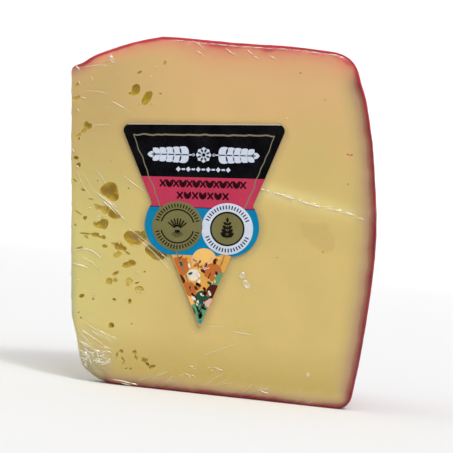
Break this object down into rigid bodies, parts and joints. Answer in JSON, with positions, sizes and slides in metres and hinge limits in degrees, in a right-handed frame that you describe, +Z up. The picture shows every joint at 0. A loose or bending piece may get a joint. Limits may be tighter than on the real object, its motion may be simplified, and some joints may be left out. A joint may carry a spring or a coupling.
{
  "type": "wrapped cheese wedge",
  "caption": "Wedge of semi-hard yellow cheese with round eyes and a red wax rind, tight in clear film, with a triangular label on its cut face.",
  "frame": {"origin": "bottom centre of the bounding box, on the flat bottom that the wedge stands on", "axes": "+Z up the wheel's axis, -Y out of the labelled cut face, +X from the tip edge to the rind"},
  "size_m": [0.0936, 0.06, 0.1027],
  "materials": {
    "cheese": "pale yellow semi-hard cheese, peach near the top, under tight clear film",
    "wax_rind": "thin deep red wax, semi-gloss",
    "clear_film": "clear glossy food film, creased and folded",
    "label_print": "printed satin sticker: black, raspberry and blue fields, a gold line, two round seals and an ochre and green tip"
  },
  "bodies": {
    "root": {"cheese_wedge": "cheese", "label": "label_print"}
  },
  "joints": []
}
